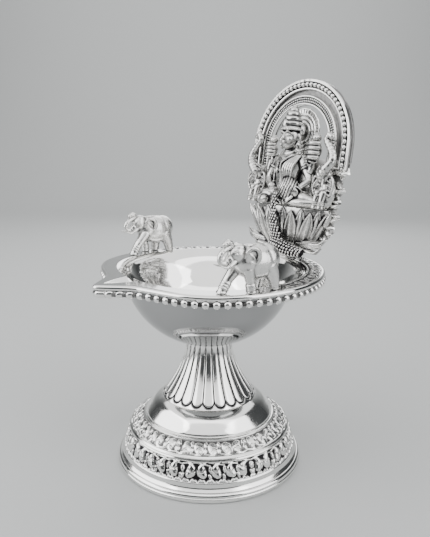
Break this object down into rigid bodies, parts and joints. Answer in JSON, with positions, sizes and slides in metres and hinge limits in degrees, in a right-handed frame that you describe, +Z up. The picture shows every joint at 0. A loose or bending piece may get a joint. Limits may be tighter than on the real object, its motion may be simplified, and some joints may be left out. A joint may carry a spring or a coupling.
{
  "type": "oil lamp",
  "caption": "Silver shrine oil lamp: beaded bowl with a spout on a fluted stem and embossed foot, elephants on the rim, leaning back plate with a seated goddess under an arch.",
  "frame": {"origin": "middle of the bounding box on the table plane, under the lamp", "axes": "+Z up from the table; the spout points to -Y, the back plate stands at +Y; +X completes the frame"},
  "size_m": [0.0808, 0.0924, 0.1359],
  "materials": {
    "polished_silver": "mirror polished silver",
    "oxidised_silver": "polished silver with blackened recesses",
    "fastener_steel": "plain turned steel"
  },
  "bodies": {
    "root": {"foot_edge_ring": "polished_silver", "foot_lower_shell": "oxidised_silver", "foot_upper_shell": "oxidised_silver", "foot_dome": "polished_silver", "fluted_stem": "polished_silver", "centre_stud": "fastener_steel", "stud_washer": "fastener_steel", "stud_nut": "fastener_steel", "bowl": "polished_silver", "rim_bead_wire": "oxidised_silver", "elephant_right": "polished_silver", "elephant_left": "polished_silver", "plate_foot": "polished_silver", "back_plate": "oxidised_silver", "outer_arch": "oxidised_silver", "arch_bead_wire": "polished_silver", "inner_arch": "oxidised_silver", "halo": "oxidised_silver", "seated_figure": "oxidised_silver", "lotus_seat": "oxidised_silver", "coin_stream": "polished_silver", "attendant_elephant_right": "oxidised_silver", "attendant_elephant_left": "oxidised_silver"}
  },
  "joints": []
}
